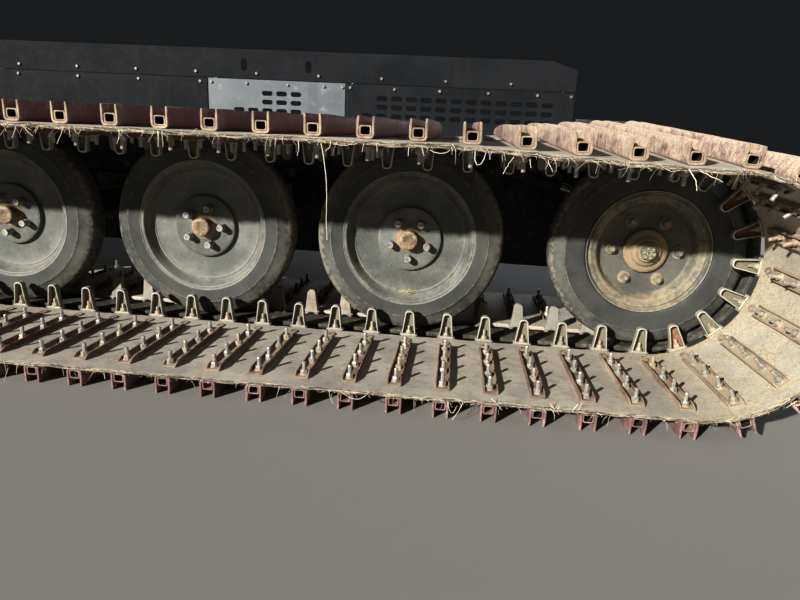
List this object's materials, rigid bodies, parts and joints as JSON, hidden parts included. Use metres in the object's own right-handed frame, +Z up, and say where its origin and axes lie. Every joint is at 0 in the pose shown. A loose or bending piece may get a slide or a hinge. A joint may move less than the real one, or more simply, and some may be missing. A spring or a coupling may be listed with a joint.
{
  "type": "snow groomer track unit",
  "caption": "Right-hand running gear of a snow groomer: belt track with steel crossbars and guides, rubber-tyred road wheels, hanging tension wheel, rear sprocket and slotted chassis side wall.",
  "frame": {"origin": "middle of the whole unit's box, on the floor that the track stands on", "axes": "+X forward, towards the tension wheel; +Y inward, towards the middle of the machine; +Z up"},
  "size_m": [3.8058, 1.276, 0.912],
  "materials": {
    "belt_rubber": "dusty, frayed edges",
    "crossbar_steel": "rusty",
    "channel_steel": "rusty, dusty",
    "guide_steel": "worn, dusty",
    "tyre_rubber": "dusty",
    "rim_paint": "matte, dusty",
    "idler_rim_paint": "matte, dusty",
    "hub_steel": "rusty, dusty",
    "axle_paint": "matte, dusty",
    "rod_steel": "polished",
    "sprocket_steel": "worn",
    "drive_paint": "matte, dusty",
    "wall_paint": "satin, dusty",
    "panel_paint": "satin, dusty"
  },
  "bodies": {
    "chassis": {"track_belt_outer": "belt_rubber", "track_belt_lane": "belt_rubber", "track_belt_inner": "belt_rubber", "track_crossbars": "crossbar_steel", "track_backing_channels": "channel_steel", "track_guides_outer": "guide_steel", "track_guides_inner": "guide_steel", "road_tyre_1": "tyre_rubber", "road_tyre_2": "tyre_rubber", "road_tyre_3": "tyre_rubber", "road_tyre_4": "tyre_rubber", "road_rim_1": "rim_paint", "road_rim_2": "rim_paint", "road_rim_3": "rim_paint", "road_rim_4": "rim_paint", "road_hub_1": "hub_steel", "road_hub_2": "hub_steel", "road_hub_3": "hub_steel", "road_hub_4": "hub_steel", "axle_beam_1": "axle_paint", "axle_beam_2": "axle_paint", "axle_beam_3": "axle_paint", "axle_beam_4": "axle_paint", "tension_bracket": "axle_paint", "sprocket_rings": "sprocket_steel", "sprocket_drum": "sprocket_steel", "final_drive": "drive_paint", "drive_motor": "drive_paint", "side_wall": "wall_paint", "wall_chord_lower": "wall_paint", "wall_chord_upper": "wall_paint", "side_rail": "wall_paint", "vent_panel_rear": "panel_paint", "vent_panel_front": "panel_paint", "vent_panel_tail": "panel_paint", "panel_posts": "wall_paint", "upper_strip": "panel_paint", "crossmember_flange_rear": "wall_paint", "crossmember_flange_front": "wall_paint"},
    "tension_arm": {"tension_arm": "axle_paint", "idler_tyre": "tyre_rubber", "idler_rim": "idler_rim_paint", "idler_hub": "hub_steel"},
    "cylinder_barrel": {"tension_cylinder_barrel": "axle_paint"},
    "cylinder_rod": {"tension_cylinder_rod": "rod_steel"}
  },
  "joints": [
    {"name": "tension_arm_swing", "type": "hinge", "parent": "chassis", "child": "tension_arm", "pos_m": [1.518, 0.425, 0.6], "axis": [0, 1, 0], "range_deg": [0, 10]},
    {"name": "cylinder_tilt", "type": "hinge", "parent": "chassis", "child": "cylinder_barrel", "pos_m": [1.126, 0.425, 0.534], "axis": [0, 1, 0], "range_deg": [0, 1.03]},
    {"name": "cylinder_stroke", "type": "slide", "parent": "cylinder_barrel", "child": "cylinder_rod", "axis": [0.9707, 0, -0.2403], "range_m": [-0.029, 0]}
  ],
  "couplings": [
    {"joint": "cylinder_tilt", "follows": "tension_arm_swing", "ratio": 0.1016},
    {"joint": "cylinder_stroke", "follows": "tension_arm_swing", "m_per_rad": -0.161}
  ]
}
